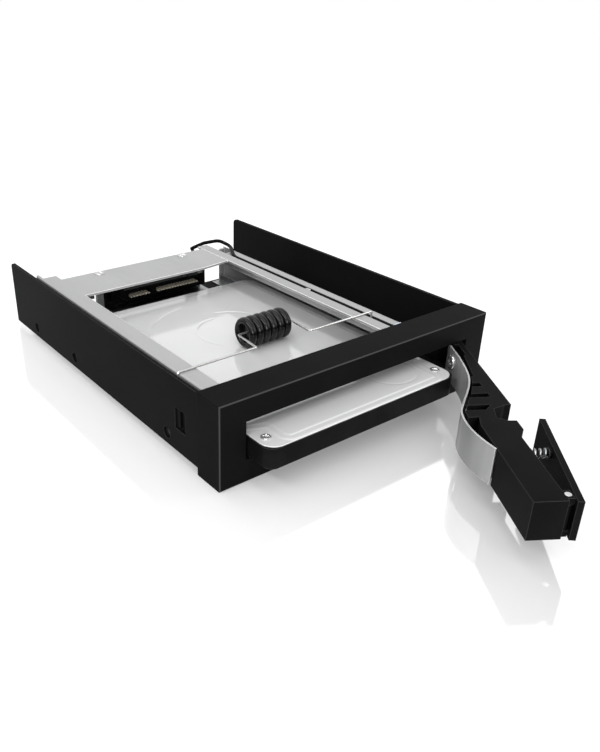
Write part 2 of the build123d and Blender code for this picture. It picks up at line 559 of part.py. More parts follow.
with BuildPart() as latch_plate:
    outline([on_plate(0, 0), on_plate(LATCH_L, 0), on_plate(LATCH_L, LATCH_T), on_plate(0, LATCH_T)], DOOR_Z0, DOOR_Z1)
    with BuildSketch(DOOR.offset(DOOR_Z0 + 1.8)):
        with Locations((LATCH_X, depth(LATCH_DEPTH))):
            Circle(1.5)
    extrude(amount=DOOR_H - 3.6)
    outline([on_plate(1.6, 1.0), on_plate(4.1, 1.0), on_plate(4.1, 2.6), on_plate(1.6, 2.6)], DOOR_Z0 + 1.8, DOOR_Z1 - 1.8)
    with BuildSketch(DOOR.offset(DOOR_Z0)):
        with Locations((LATCH_X, depth(LATCH_DEPTH))):
            Circle(0.85)
    extrude(amount=DOOR_H, mode=Mode.SUBTRACT)
latch_plate.part.label = "latch_plate"
export_step(latch_plate.part, "parts/latch_plate.step")

with BuildPart() as latch_pin:
    with BuildSketch(DOOR.offset(DOOR_Z0 - 0.1)) as shank:
        with Locations((LATCH_X, depth(LATCH_DEPTH))):
            Circle(0.8)
    extrude(amount=DOOR_H + 0.2)
    with BuildSketch(DOOR.offset(DOOR_Z1)) as head:
        with Locations((LATCH_X, depth(LATCH_DEPTH))):
            Circle(1.2)
    extrude(to_extrude=head.sketch, amount=0.3)
    chamfer(latch_pin.edges().sort_by(Axis.Z)[-1], length=0.15)
latch_pin.part.label = "latch_pin"
export_step(latch_pin.part, "parts/latch_pin.step")

# Coil spring between the grip and the lever
SPRING_BACK = (FAR[0] - SPRING_X) / WAY[0]
SPRING_TIP = on_plate(SPRING_BACK, LATCH_T)[1]
with BuildPart() as latch_spring:
    wire_r = 0.26
    coil_r = 1.35
    low = 3.6 - wire_r
    high = SPRING_TIP + wire_r + 0.3
    at = DOOR.from_local_coords(Vector(SPRING_X, depth(low), SPRING_Z))
    with BuildLine() as coil:
        Helix(pitch=(low - high) / 4.5, height=low - high, radius=coil_r, center=at, direction=DOOR.y_dir)
    with BuildSketch(Plane(origin=coil.line @ 0, z_dir=coil.line % 0)):
        RegularPolygon(wire_r, 6)
    sweep(path=coil.line, is_frenet=True)
latch_spring.part.label = "latch_spring"
export_step(latch_spring.part, "parts/latch_spring.step")

# Drive: cast base, pressed cover with screws, board below and connector tongue at the rear
CAVITY_X0 = SIGNAL_X0 - 2.4
CAVITY_X1 = POWER_X1 + 2.4
with BuildPart() as drive_base:
    block(DRIVE_X0, DRIVE_X1, DRIVE_Y0, DRIVE_Y1, DRIVE_Z0, COVER_Z0)
    fillet(drive_base.edges().filter_by(Axis.Z), radius=3.2)
    chamfer(drive_base.faces().sort_by(Axis.Z)[0].edges(), length=0.6)
    block(DRIVE_X0 + 4.0, DRIVE_X1 - 4.0, DRIVE_Y0 + 6.0, DRIVE_Y1 - 9.0, DRIVE_Z0 - 1, DRIVE_Z0 + 1.2, mode=Mode.SUBTRACT)
    block(CAVITY_X0, CAVITY_X1, DRIVE_Y1 - 5.0, DRIVE_Y1 + 1, DRIVE_Z0 - 1, DRIVE_Z0 + 5.4, mode=Mode.SUBTRACT)
drive_base.part.label = "drive_base"
export_step(drive_base.part, "parts/drive_base.step")

with BuildPart() as drive_cover:
    x0 = DRIVE_X0 + 2.7
    x1 = DRIVE_X1 - 4.4
    y0 = DRIVE_Y0 + 2.5
    block(DRIVE_X0 + 0.25, DRIVE_X1 - 0.25, DRIVE_Y0 + 0.2, DRIVE_Y1 - 0.2, COVER_Z0, RIM_Z)
    fillet(drive_cover.edges().filter_by(Axis.Z), radius=4.2)
    with BuildSketch(Plane.XY.offset(RIM_Z)):
        with BuildLine():
            Polyline(
                (x0, y0 + 10.0), (x0 + 5.2, y0 + 7.8), (x0 + 5.2, y0), (x1 - 1.4, y0), (x1 - 1.4, y0 + 7.8),
                (x1, y0 + 10.0), (x1, DRIVE_Y1 - 3.0), (x0, DRIVE_Y1 - 3.0), close=True,
            )
        make_face()
        fillet(vertices().group_by(Axis.Y)[-1], radius=3.5)
    extrude(amount=DRIVE_Z1 - RIM_Z)
    chamfer(drive_cover.faces().sort_by(Axis.Z)[-1].outer_wire().edges(), length=0.2)
    with BuildSketch(Plane.XY.offset(DRIVE_Z1)):
        with Locations((PIVOT_X, PIVOT_Y)):
            Circle(8.3)
            Circle(7.7, mode=Mode.SUBTRACT)
        with Locations((SPINDLE_X, SPINDLE_Y)):
            Circle(11.7)
            Circle(11.1, mode=Mode.SUBTRACT)
    extrude(amount=-0.15, mode=Mode.SUBTRACT)
drive_cover.part.label = "drive_cover"
export_step(drive_cover.part, "parts/drive_cover.step")

with BuildPart() as drive_board:
    block(DRIVE_X0 + 4.3, DRIVE_X1 - 4.3, DRIVE_Y0 + 44.0, DRIVE_Y1 - 9.3, DRIVE_Z0 + 0.1, DRIVE_Z0 + 1.2)
drive_board.part.label = "drive_board"
export_step(drive_board.part, "parts/drive_board.step")

with BuildPart() as drive_connector:
    for x0, x1 in ((SIGNAL_X0 + 0.3, SIGNAL_X1 - 0.3), (POWER_X0 + 0.3, POWER_X1 - 0.3)):
        block(x0, x1, DRIVE_Y1 - 5.0, DRIVE_Y1 - 0.9, TONGUE_Z - 0.1, TONGUE_Z + 1.1)
drive_connector.part.label = "drive_connector"
export_step(drive_connector.part, "parts/drive_connector.step")

for name, x in (
    ("drive_screw_front_left", DRIVE_X0 + 3.1),
    ("drive_screw_front_right", DRIVE_X1 - 3.1),
):
    with BuildPart() as drive_screw:
        rod_z(x, DRIVE_Y0 + 5.6, RIM_Z, RIM_Z + 0.4, 1.4)
        rod_z(x, DRIVE_Y0 + 5.6, RIM_Z + 0.15, DRIVE_Z1 + 1, 0.6, mode=Mode.SUBTRACT)
    drive_screw.part.label = name
    export_step(drive_screw.part, "parts/" + name + ".step")
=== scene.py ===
import json
import math

import bmesh
import bpy
import numpy as np
from mathutils import Matrix, Vector


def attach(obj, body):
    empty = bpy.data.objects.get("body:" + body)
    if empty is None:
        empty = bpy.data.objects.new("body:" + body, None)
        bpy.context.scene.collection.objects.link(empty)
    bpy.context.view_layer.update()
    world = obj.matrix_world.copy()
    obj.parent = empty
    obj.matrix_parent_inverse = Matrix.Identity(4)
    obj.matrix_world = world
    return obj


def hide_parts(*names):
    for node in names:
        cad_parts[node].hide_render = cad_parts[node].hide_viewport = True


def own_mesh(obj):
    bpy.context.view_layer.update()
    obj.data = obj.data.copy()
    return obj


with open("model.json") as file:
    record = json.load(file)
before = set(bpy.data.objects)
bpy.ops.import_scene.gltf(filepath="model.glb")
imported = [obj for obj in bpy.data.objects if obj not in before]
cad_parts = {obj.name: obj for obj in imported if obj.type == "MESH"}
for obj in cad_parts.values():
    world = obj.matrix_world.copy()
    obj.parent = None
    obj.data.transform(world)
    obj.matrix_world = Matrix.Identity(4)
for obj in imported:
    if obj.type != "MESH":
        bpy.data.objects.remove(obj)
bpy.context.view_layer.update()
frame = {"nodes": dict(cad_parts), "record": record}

scene = bpy.context.scene
nodes = frame["nodes"]
MM = 0.001
RIGHT = Vector((1, 0, 0))
REARWARD = Vector((0, 1, 0))
UP = Vector((0, 0, 1))

# Sizes of the solids that the pieces are fitted to, in millimetres
DRIVE_X0 = -41.8
DRIVE_X1 = 28.05
DRIVE_Y0 = -13.7
DRIVE_Y1 = 86.5
DRIVE_TOP = 14.15
RIM_TOP = 13.85
COVER_Z0 = 13.6
ROLLER = Vector((-4.35, 36.9, 19.08))
ROLLER_R = 4.9
ROLLER_L = 16.4
DOOR_TOP = 17.8
HINGE = Vector((39.604, -3.8, 0))
DOOR_OPEN = math.radians(57.6)
ALONG = Vector((-math.cos(DOOR_OPEN), -math.sin(DOOR_OPEN), 0))
OUTWARD = Vector((math.sin(DOOR_OPEN), -math.cos(DOOR_OPEN), 0))
FACE_OUT = 1.2
SPRING_S = 60.3
SPRING_Z = DOOR_TOP - 1.7
PIN_S = 79.0
PIN_DEPTH = 3.0
PIN_FOOT = 7.3


def at_door(s, d, z):
    """A point s along the open door from its hinge, d behind its outer face, at height z."""
    return HINGE + ALONG * s + OUTWARD * (FACE_OUT - d) + Vector((0, 0, z))


# Materials

EVEN = (1, 1, 1)
WHITE = (1, 1, 1, 1)
# The near-black colour of the shade painted into slots and corners
PAINTED_SHADE_BLACK = (0.0008, 0.0008, 0.0008)
COAT_ROUGHNESS = 0.12
BUMP_DEPTH = 0.00004
# The noise that the colour clouds and the roughness are spread over
CLOUD_RANGE = (0.35, 0.65)
GRAIN_RANGE = (0.3, 0.7)
# Where each mask starts and where it is full: the cosine between a corner's rounded normal and its
# face, and the largest part of the normal on a rounded edge, for the painted edge highlights, and the
# open share seen from a slot, for the painted shade
EDGE_RANGE = (0.99, 0.88)
ROUNDING_RANGE = (0.985, 0.9)
PAINTED_SHADE_RANGE = (0.8, 0.35)


def new_node(tree, kind, **settings):
    """A node with its settings and inputs. An input that is another node's output is linked."""
    node = tree.nodes.new(kind)
    for key, value in settings.items():
        if key not in node.inputs:
            setattr(node, key, value)
        elif isinstance(value, bpy.types.NodeSocket):
            tree.links.new(value, node.inputs[key])
        else:
            node.inputs[key].default_value = value
    return node


def calculate(tree, operation, first, second):
    """One number from the outputs of two nodes."""
    result = new_node(tree, "ShaderNodeMath", operation=operation)
    tree.links.new(first, result.inputs[0])
    tree.links.new(second, result.inputs[1])
    return result.outputs[0]


def noise(tree, coords, size, stretch, detail):
    """Noise whose grains are about size metres across, drawn out by stretch."""
    scale = [1 / (size * s) for s in stretch]
    place = new_node(tree, "ShaderNodeMapping", Vector=coords, Scale=scale)
    cloud = new_node(tree, "ShaderNodeTexNoise", Vector=place.outputs["Vector"], Scale=1.0, Detail=detail,
                     Roughness=0.6)
    return cloud.outputs["Fac"]


def spread(tree, value, low, high, start, stop):
    """Takes start to low and stop to high, and holds at both ends."""
    ends = {"From Min": start, "From Max": stop, "To Min": low, "To Max": high}
    return new_node(tree, "ShaderNodeMapRange", Value=value, **ends).outputs["Result"]


def blend_colour(tree, factor, first, second):
    """Mixes two colours, where the first may be another node's output."""
    if isinstance(first, tuple):
        first = (*first, 1)
    mix = new_node(tree, "ShaderNodeMix", data_type="RGBA", Factor=factor, A=first, B=(*second, 1))
    return mix.outputs["Result"]


def blend_shader(tree, factor, first, second):
    mix = new_node(tree, "ShaderNodeMixShader", Fac=factor)
    tree.links.new(first.outputs[0], mix.inputs[1])
    tree.links.new(second.outputs[0], mix.inputs[2])
    return mix


def edge_mask(tree, rounded):
    """High where the rounded normal leaves the face's own, along edges, where a highlight is painted."""
    face = new_node(tree, "ShaderNodeNewGeometry")
    turn = new_node(tree, "ShaderNodeVectorMath", operation="DOT_PRODUCT")
    tree.links.new(rounded, turn.inputs[0])
    tree.links.new(face.outputs["Normal"], turn.inputs[1])
    return spread(tree, turn.outputs["Value"], 0, 1, *EDGE_RANGE)


def painted_shade_mask(tree, reach):
    """Where shade is painted: high in the piece's own slots and corners narrower than reach, low on its open
    faces.
    """
    shade = new_node(tree, "ShaderNodeAmbientOcclusion", samples=8, only_local=True, Distance=reach)
    return spread(tree, shade.outputs["AO"], 0, 1, *PAINTED_SHADE_RANGE)


def rounding_mask(tree):
    """High on the rounded edges of a piece whose flat faces are square to the axes, where a highlight is
    painted.
    """
    normal = new_node(tree, "ShaderNodeTexCoord").outputs["Normal"]
    size = new_node(tree, "ShaderNodeVectorMath", operation="ABSOLUTE", Vector=normal)
    parts = new_node(tree, "ShaderNodeSeparateXYZ", Vector=size.outputs["Vector"])
    largest = parts.outputs["X"]
    for axis in ("Y", "Z"):
        largest = calculate(tree, "MAXIMUM", largest, parts.outputs[axis])
    return spread(tree, largest, 0, 1, *ROUNDING_RANGE)


def material(name, colour, shift, rough, metallic=0.0, specular=0.5, coat=0.0, tone=(0.02, EVEN),
             grain=(0.0004, EVEN), bump=0.1, edge=0.00025, edge_highlight=None, square=False, painted_shade_reach=0.0):
    """A procedural material. shift is the second colour, rough the lowest and highest roughness,
    tone and grain the size and stretch of the colour clouds and of the fine surface,
    edge the radius that its corners are rounded by, and edge_highlight the colour of a highlight painted on
    those corners.
    square tells that the solid's own edges are rounded and its faces lie along the axes,
    and painted_shade_reach is the reach of the shade painted into its slots and corners."""
    mat = bpy.data.materials.new(name)
    mat.use_nodes = True
    tree = mat.node_tree
    shader = tree.nodes["Principled BSDF"]
    shader.inputs["Metallic"].default_value = metallic
    shader.inputs["Specular IOR Level"].default_value = specular
    shader.inputs["Coat Weight"].default_value = coat
    shader.inputs["Coat Roughness"].default_value = COAT_ROUGHNESS
    coords = new_node(tree, "ShaderNodeTexCoord").outputs["Object"]
    rounded = new_node(tree, "ShaderNodeBevel", samples=8, Radius=edge).outputs["Normal"]
    clouds = noise(tree, coords, *tone, detail=3.0)
    base = blend_colour(tree, spread(tree, clouds, 0, 1, *CLOUD_RANGE), colour, shift)
    # Paints a lighter highlight colour onto the rounded edges.
    if edge_highlight:
        mask = rounding_mask(tree) if square else edge_mask(tree, rounded)
        base = blend_colour(tree, mask, base, edge_highlight)
    # Paints near-black shade into the piece's own slots and corners.
    if painted_shade_reach:
        base = blend_colour(tree, painted_shade_mask(tree, painted_shade_reach), base, PAINTED_SHADE_BLACK)
    fine = noise(tree, coords, *grain, detail=2.0)
    relief = new_node(tree, "ShaderNodeBump", Strength=bump, Distance=BUMP_DEPTH, Height=fine, Normal=rounded)
    tree.links.new(base, shader.inputs["Base Color"])
    tree.links.new(spread(tree, fine, *rough, *GRAIN_RANGE), shader.inputs["Roughness"])
    tree.links.new(relief.outputs["Normal"], shader.inputs["Normal"])
    return mat


# Several materials below paint a lighter colour onto their rounded edges as a highlight, and some darken
# their slots and corners with painted shade.
BLACK = (0.006, 0.006, 0.0062)
BLACK_SHIFT = (0.008, 0.008, 0.0083)
# The colour of the highlight painted on the rounded edges of black parts.
BLACK_EDGE_HIGHLIGHT = (0.05, 0.05, 0.051)
SATIN = {"specular": 0.01, "tone": (0.03, EVEN), "grain": (0.00035, EVEN), "edge": 0.0003}

BLACK_PLASTIC = material(
    "black_plastic_satin", BLACK, BLACK_SHIFT, (0.34, 0.46), edge_highlight=(0.16, 0.16, 0.162), **SATIN)
BEZEL_PLASTIC = material(
    "bezel_plastic_satin", BLACK, BLACK_SHIFT, (0.34, 0.46), edge_highlight=BLACK_EDGE_HIGHLIGHT, square=True, painted_shade_reach=0.003,
    **SATIN)
DOOR_PLASTIC = material(
    "door_plastic_satin", BLACK, BLACK_SHIFT, (0.3, 0.42), specular=0.012, grain=(0.0003, EVEN),
    bump=0.08, edge=0.00028, edge_highlight=(0.045, 0.045, 0.046), painted_shade_reach=0.003)
BLACK_STEEL = material(
    "black_powder_steel", (0.0065, 0.0065, 0.0067), (0.0085, 0.0085, 0.0087), (0.32, 0.44),
    specular=0.01, tone=(0.04, EVEN), grain=(0.0006, EVEN), bump=0.14, edge=0.00022, edge_highlight=BLACK_EDGE_HIGHLIGHT,
    painted_shade_reach=0.002)
# The near-white edge colour paints a highlight along the sheet's edges.
BARE_STEEL = material(
    "bare_sheet_steel", (0.37, 0.372, 0.375), (0.41, 0.412, 0.415), (0.3, 0.36), metallic=0.5,
    tone=(0.02, (0.6, 4, 1)), grain=(0.0006, (1, 20, 1)), bump=0.01, edge=0.0004,
    edge_highlight=(0.97, 0.97, 0.98))
ZINC_STEEL = material(
    "zinc_plated_steel", (0.28, 0.285, 0.29), (0.38, 0.385, 0.39), (0.28, 0.42), metallic=1.0,
    tone=(0.006, EVEN), grain=(0.0005, (1, 4, 1)), bump=0.05, edge=0.00015)
# The near-white edge colour paints a highlight along the spring's edges.
SPRING_STEEL = material(
    "spring_steel", (0.2, 0.202, 0.205), (0.42, 0.422, 0.425), (0.2, 0.22), metallic=0.15,
    tone=(0.016, (1, 1, 12)), grain=(0.003, EVEN), bump=0.0, edge=0.0002, edge_highlight=(0.95, 0.95, 0.95))
WIRE_STEEL = material(
    "drawn_wire", (0.5, 0.5, 0.49), (0.62, 0.62, 0.61), (0.2, 0.3), metallic=0.8,
    tone=(0.003, EVEN), grain=(0.0002, EVEN), bump=0.03, edge=0.00005)
SCREW_STEEL = material(
    "nickel_screw", (0.56, 0.56, 0.565), (0.66, 0.66, 0.665), (0.16, 0.24), metallic=0.8,
    tone=(0.002, EVEN), grain=(0.0002, EVEN), bump=0.04, edge=0.00008)
# The white edge colour paints a highlight along the cover's rims and steps.
DRIVE_ALUMINIUM = material(
    "drive_cover_metal", (0.64, 0.642, 0.645), (0.66, 0.662, 0.665), (0.055, 0.07), metallic=0.17,
    specular=0.3, tone=(0.03, (1, 2, 1)), grain=(0.004, (1, 3, 1)), bump=0.0, edge_highlight=(1.0, 1.0, 1.0))
DRIVE_CASTING = material(
    "drive_casting_black", BLACK, (0.009, 0.009, 0.0093), (0.34, 0.46), specular=0.02,
    tone=(0.01, EVEN), grain=(0.0003, EVEN), bump=0.12, edge_highlight=BLACK_EDGE_HIGHLIGHT)
BOARD_GREEN = material(
    "board_mask", (0.006, 0.026, 0.012), (0.01, 0.042, 0.018), (0.22, 0.34), coat=0.3,
    tone=(0.0016, (1, 1, 4)), grain=(0.0004, (1, 1, 3)), bump=0.15)
SOCKET_BLACK = material(
    "socket_nylon", (0.004, 0.004, 0.004), (0.007, 0.007, 0.007), (0.2, 0.32), specular=0.2,
    tone=(0.006, EVEN), grain=(0.0002, EVEN), bump=0.08, edge=0.0001)
# Gold lightened almost to white, so that the contact row shows a painted highlight.
CONTACT_GOLD_HIGHLIGHT = material(
    "contact_gold", (0.95, 0.88, 0.7), (0.97, 0.91, 0.76), (0.3, 0.4), metallic=0.2,
    tone=(0.002, EVEN), grain=(0.0002, EVEN), bump=0.03, edge=0.00005)
RUBBER = material(
    "roller_rubber", (0.002, 0.002, 0.002), (0.003, 0.003, 0.003), (0.15, 0.19), specular=0.25,
    tone=(0.004, EVEN), grain=(0.0005, EVEN), bump=0.02, edge=0.00005)
SLEEVE = material(
    "lead_sleeve", (0.003, 0.003, 0.003), (0.005, 0.005, 0.005), (0.3, 0.42), specular=0.04,
    tone=(0.006, EVEN), edge=0.0001)
LAMP = material(
    "lamp_resin", (0.5, 0.56, 0.7), (0.6, 0.66, 0.8), (0.1, 0.2), coat=0.3,
    tone=(0.002, EVEN), bump=0.02, edge=0.0002)

FINISH = {
    "black_plastic": BLACK_PLASTIC,
    "black_steel": BLACK_STEEL,
    "bare_steel": BARE_STEEL,
    "zinc_steel": ZINC_STEEL,
    "spring_steel": SPRING_STEEL,
    "screw_steel": SCREW_STEEL,
    "drive_aluminium": DRIVE_ALUMINIUM,
    "drive_casting": DRIVE_CASTING,
    "board": BOARD_GREEN,
    "connector_black": SOCKET_BLACK,
    "contact_gold": CONTACT_GOLD_HIGHLIGHT,
    "roller_rubber": RUBBER,
    "lead_sleeve": SLEEVE,
    "lamp_clear": LAMP,
}


def dress(obj, mat):
    obj.data.materials.clear()
    obj.data.materials.append(mat)


for part in frame["record"]["subparts"]:
    dress(nodes[part["node"]], FINISH[part["material_slot"]])
dress(nodes["bezel"], BEZEL_PLASTIC)
dress(nodes["door_arm"], DOOR_PLASTIC)
dress(nodes["presser_wire"], WIRE_STEEL)


# Pieces

def add_object(name, bm, mat):
    """Turns a bmesh in metres into an object of the scene."""
    mesh = bpy.data.meshes.new(name)
    bm.to_mesh(mesh)
    bm.free()
    mesh.materials.append(mat)
    obj = bpy.data.objects.new(name, mesh)
    scene.collection.objects.link(obj)
    return obj


def finish_piece(name, bm, mat, body, replaced=(), smooth=40):
    """Turns a bmesh in millimetres into a piece of the object that rides its body."""
    bmesh.ops.remove_doubles(bm, verts=bm.verts, dist=0.0004)
    bmesh.ops.recalc_face_normals(bm, faces=bm.faces)
    bmesh.ops.scale(bm, vec=(MM, MM, MM), verts=bm.verts)
    for face in bm.faces:
        face.smooth = True
    for edge in bm.edges:
        if len(edge.link_faces) == 2 and edge.calc_face_angle() > math.radians(smooth):
            edge.smooth = False
    obj = add_object(name, bm, mat)
    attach(obj, body)
    for node in replaced:
        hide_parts(node)
    return obj


def rows_to_faces(bm, rows, wrap):
    """Joins rows of points into quads, and each row's end to its start where wrap is set."""
    rows = [[bm.verts.new(p) for p in row] for row in rows]
    for low, high in zip(rows, rows[1:]):
        count = len(low) if wrap else len(low) - 1
        for i in range(count):
            j = (i + 1) % len(low)
            bm.faces.new((low[i], low[j], high[j], high[i]))
    return rows


def circle(middle, side, other, radius, count):
    """Points around middle in the plane of side and other."""
    turns = [2 * math.pi * j / count for j in range(count)]
    return [middle + side * (radius * math.cos(a)) + other * (radius * math.sin(a)) for a in turns]


def turned(profile, foot, axis, side, count=40):
    """A form turned about axis from pairs of a radius and the height along axis from foot."""
    other = axis.cross(side)
    bm = bmesh.new()
    rows_to_faces(bm, [circle(foot + axis * h, side, other, r, count) for r, h in profile], True)
    bmesh.ops.dissolve_degenerate(bm, edges=bm.edges, dist=0.0001)
    return bm


def swept(points, radius, count=10):
    """A round wire along a list of points."""
    side = None
    rows = []
    for i, here in enumerate(points):
        ahead = points[min(i + 1, len(points) - 1)] - points[max(i - 1, 0)]
        ahead.normalize()
        if side is None:
            side = ahead.orthogonal().normalized()
        side = (side - ahead * side.dot(ahead)).normalized()
        rows.append(circle(here, side, ahead.cross(side), radius, count))
    bm = bmesh.new()
    made = rows_to_faces(bm, rows, True)
    bm.faces.new(made[0])
    bm.faces.new(made[-1])
    return bm


def step(value, low, high):
    t = np.clip((value - low) / (high - low), 0, 1)
    return t * t * (3 - 2 * t)


def line_distance(x, y, points):
    """Signed distance to a closed outline, positive inside it."""
    best = np.full(x.shape, 1e9)
    inside = np.zeros(x.shape, bool)
    for (ax, ay), (bx, by) in zip(points, points[1:] + points[:1]):
        ex = bx - ax
        ey = by - ay
        t = np.clip(((x - ax) * ex + (y - ay) * ey) / (ex * ex + ey * ey), 0, 1)
        best = np.minimum(best, np.hypot(x - ax - t * ex, y - ay - t * ey))
        crosses = (ay > y) != (by > y)
        reach = ax + (y - ay) * ex / (ey if ey else 1e-9)
        inside ^= crosses & (x < reach)
    return np.where(inside, best, -best)


def arc_points(cx, cy, r, start, stop, count=7):
    turns = [math.radians(start + (stop - start) * i / (count - 1)) for i in range(count)]
    return [(cx + r * math.cos(a), cy + r * math.sin(a)) for a in turns]


def ridge(distance, width):
    return np.exp(-((distance / width) ** 2))


def sector(x, y, start, stop, fade=8):
    """One inside an angle range around the origin, fading at its ends, in degrees."""
    turn = np.degrees(np.arctan2(y, x)) % 360
    return step(turn, start, start + fade) * (1 - step(turn, stop - fade, stop))


# Rings pressed into the drive's cover: the middle from the drive's front left corner, the radius,
# the groove's depth and width, and the arc it covers, or None for a whole ring
COVER_RINGS = [
    (55.0, 12.7, 8.05, 0.13, 0.35, None),
    (34.5, 63.7, 11.4, 0.12, 0.4, (85, 225)),
    (34.5, 63.7, 15.5, 0.1, 0.4, (15, 80)),
    (34.5, 63.7, 26.4, 0.13, 0.45, (92, 165)),
]


def cover_height(x, y):
    """The pressed cover: a rim, a panel raised in two steps with two front pockets, and rings."""
    left = DRIVE_X0 + 2.7
    right = DRIVE_X1 - 4.4
    front = DRIVE_Y0 + 2.5
    rear = DRIVE_Y1 - 3.0
    pocket = 10
    corner = 5
    panel = [(left, front + pocket), (left + 4.8, front + 8.2), (left + 5.2, front + 7.4),
             (left + 5.2, front + 1.2), (left + 6.2, front), (right - 2.4, front),
             (right - 1.4, front + 1.2), (right - 1.4, front + 7.8), (right, front + pocket)]
    panel += arc_points(right - corner, rear - corner, corner, 0, 90)
    panel += arc_points(left + corner, rear - corner, corner, 90, 180)
    inward = line_distance(x, y, panel)
    rise = (DRIVE_TOP - RIM_TOP) / 2
    z = RIM_TOP + rise * (step(inward, -2.3, -1.8) + step(inward, -0.25, 0.3))
    for ring_x, ring_y, radius, depth, width, arc in COVER_RINGS:
        dx = x - (DRIVE_X0 + ring_x)
        dy = y - (DRIVE_Y0 + ring_y)
        groove = depth * ridge(np.hypot(dx, dy) - radius, width)
        if arc:
            groove = groove * sector(dx, dy, *arc)
        z = z - groove
    return z


def drive_cover():
    """A fine grid with rounded corners, raised to the pressed heights, with a skirt at its rim."""
    cell = 0.3
    side_gap = 0.25
    end_gap = 0.2
    corner = 4.2
    x0 = DRIVE_X0 + side_gap
    x1 = DRIVE_X1 - side_gap
    y0 = DRIVE_Y0 + end_gap
    y1 = DRIVE_Y1 - end_gap
    across = np.linspace(x0, x1, round((x1 - x0) / cell) + 1)
    down = np.linspace(y0, y1, round((y1 - y0) / cell) + 1)
    x, y = np.meshgrid(across, down)
    cx = np.clip(x, x0 + corner, x1 - corner)
    cy = np.clip(y, y0 + corner, y1 - corner)
    reach = np.hypot(x - cx, y - cy)
    pull = np.where(reach > corner, corner / np.maximum(reach, 1e-9), 1)
    x = cx + (x - cx) * pull
    y = cy + (y - cy) * pull
    grid = np.stack([x, y, cover_height(x, y)], axis=-1)
    bm = bmesh.new()
    rows_to_faces(bm, [[tuple(p) for p in row] for row in grid.tolist()], False)
    bmesh.ops.remove_doubles(bm, verts=bm.verts, dist=0.02)
    bmesh.ops.dissolve_degenerate(bm, edges=bm.edges, dist=0.01)
    rim = [e for e in bm.edges if e.is_boundary]
    skirt = bmesh.ops.extrude_edge_only(bm, edges=rim)["geom"]
    for vert in [v for v in skirt if isinstance(v, bmesh.types.BMVert)]:
        vert.co.z = COVER_Z0
    finish_piece("cover_pressing", bm, DRIVE_ALUMINIUM, "drive", ["drive_cover"])


def roller():
    """Six rounded ridges turned on the wire's axis, with a recess at each end."""
    ridges = 6
    deep = 1.25
    end = -ROLLER_L / 2
    pitch = ROLLER_L / ridges
    recess = [(0.42, end + 2.1), (2.6, end + 2.0), (3.0, end + 0.6), (3.35, end + 0.15)]
    profile = list(recess)
    for i in range(ridges):
        middle = (i - (ridges - 1) / 2) * pitch
        for angle in range(-84, 85, 14):
            turn = math.radians(angle)
            profile.append((ROLLER_R - deep * (1 - math.cos(turn)), middle + pitch / 2 * math.sin(turn)))
    profile += [(r, -h) for r, h in reversed(recess)]
    bm = turned(profile, ROLLER, RIGHT, REARWARD, count=56)
    finish_piece("rubber_roller", bm, RUBBER, "roller", ["presser_roller"])


def latch_pin():
    """The lever's pin: a shank through the grip and a small domed head."""
    shank = 0.74
    profile = [(0.0, PIN_FOOT), (shank - 0.08, PIN_FOOT), (shank, PIN_FOOT + 0.1), (shank, DOOR_TOP)]
    dome = [(0.8, 0.05), (0.78, 0.14), (0.6, 0.23), (0.32, 0.29), (0.0, 0.3)]
    profile += [(r, DOOR_TOP + h) for r, h in dome]
    bm = turned(profile, at_door(PIN_S, PIN_DEPTH, 0), UP, RIGHT)
    finish_piece("lever_pin", bm, SCREW_STEEL, "door", ["latch_pin"])


def coil_spring():
    """The latch's spring, with open turns between the grip and the lever, and its boss on the lever."""
    wire = 0.3
    coil = 0.95
    low = 3.55 - wire
    high = -0.9
    turns = 3.7
    start = 1.2
    eased = 0.4
    count = 110
    points = []
    for i in range(count + 1):
        t = i / count
        rise = float(step(t, 0, 1)) * eased + t * (1 - eased)
        a = 2 * math.pi * turns * t + start
        centre = at_door(SPRING_S, low + (high - low) * rise, SPRING_Z)
        points.append(centre + ALONG * (coil * math.cos(a)) + UP * (coil * math.sin(a)))
    piece = finish_piece("coil_spring", swept(points, wire), ZINC_STEEL, "door",
                         ["latch_spring"], smooth=70)
    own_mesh(piece)

    boss = [(0.0, -2.15), (1.32, -2.15), (1.32, -1.05), (1.2, -0.92), (0.0, -0.92)]
    bm = turned(boss, at_door(SPRING_S, 0, SPRING_Z), -OUTWARD, ALONG)
    finish_piece("spring_boss", bm, BLACK_PLASTIC, "latch")


def screw_head(name, foot, axis, radius, height, body, replaced, rings=14, count=72):
    """A domed head with a cross recess. foot is the middle of its seat and axis points out of it."""
    side = UP if abs(axis.z) < 0.5 else axis.orthogonal().normalized()
    other = axis.cross(side)
    rim_share = 0.62
    slot_half = radius * 0.12
    cross_reach = radius * 0.62
    recess = min(0.55 * height + 0.1, 0.5)
    rows = []
    for i in range(rings + 1):
        share = i / rings
        dome = height * (rim_share + (1 - rim_share) * math.sqrt(max(0.0, 1 - share ** 2.6)))
        row = []
        for j in range(count):
            a = 2 * math.pi * j / count
            u = share * radius * math.cos(a)
            v = share * radius * math.sin(a)
            narrow, far = sorted((abs(u), abs(v)))
            cut = 1 - float(step(narrow, slot_half * 0.7, slot_half * 1.3))
            cut *= 1 - float(step(far, cross_reach * 0.8, cross_reach))
            row.append(foot + side * u + other * v + axis * (dome - cut * recess))
        rows.append(row)
    rows.append(circle(foot, side, other, radius, count))
    bm = bmesh.new()
    made = rows_to_faces(bm, rows, True)
    bm.faces.new(made[-1])
    finish_piece(name, bm, SCREW_STEEL, body, [replaced], smooth=50)


